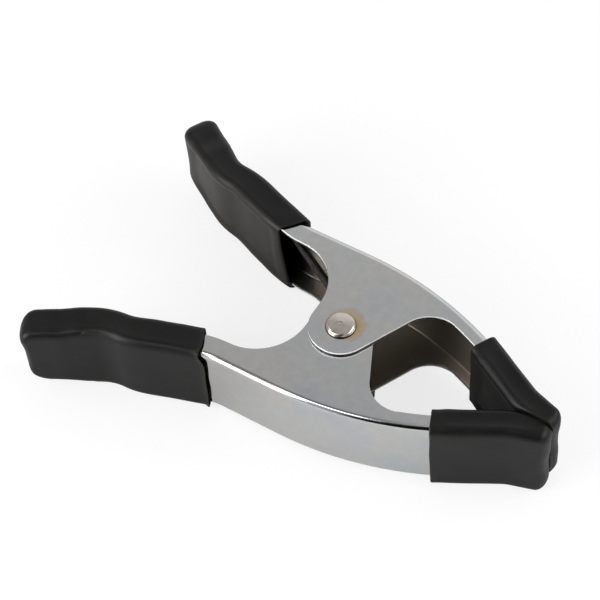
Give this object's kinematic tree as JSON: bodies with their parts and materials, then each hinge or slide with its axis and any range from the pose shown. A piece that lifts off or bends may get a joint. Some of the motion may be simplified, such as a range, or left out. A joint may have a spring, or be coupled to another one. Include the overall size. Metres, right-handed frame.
{
  "type": "spring clamp",
  "caption": "Hand spring clamp: two riveted steel channel arms, a torsion spring, and vinyl sleeves on handles and jaws.",
  "frame": {"origin": "in the bite of the closed jaws, on the plane where the two boots meet and at the middle of the clamp's height", "axes": "+X from the pivot to the jaws, out of the bite; +Y towards the left arm; +Z along the pivot axis towards the rivet's domed head; the clamp lies on its side"},
  "size_m": [0.1526, 0.0952, 0.0298],
  "materials": {
    "zinc_plated_steel": "bright zinc plating on pressed sheet, faintly cloudy",
    "rivet_steel": "plain plated rivet head, slightly warm",
    "spring_wire": "oiled dark spring wire",
    "black_vinyl": "satin black dipped vinyl, soft edges"
  },
  "bodies": {
    "left_half": {"left_arm": "zinc_plated_steel", "pivot_rivet": "rivet_steel", "torsion_spring": "spring_wire", "left_grip": "black_vinyl", "left_jaw_boot": "black_vinyl"},
    "right_half": {"right_arm": "zinc_plated_steel", "right_grip": "black_vinyl", "right_jaw_boot": "black_vinyl"}
  },
  "joints": [
    {"name": "jaw_pivot", "type": "hinge", "parent": "left_half", "child": "right_half", "pos_m": [-0.064, 0, 0], "axis": [0, 0, -1], "range_deg": [0, 45], "stiffness_Nm_per_rad": 0.05, "springref_deg": -20.05, "deforming": ["torsion_spring"]}
  ]
}
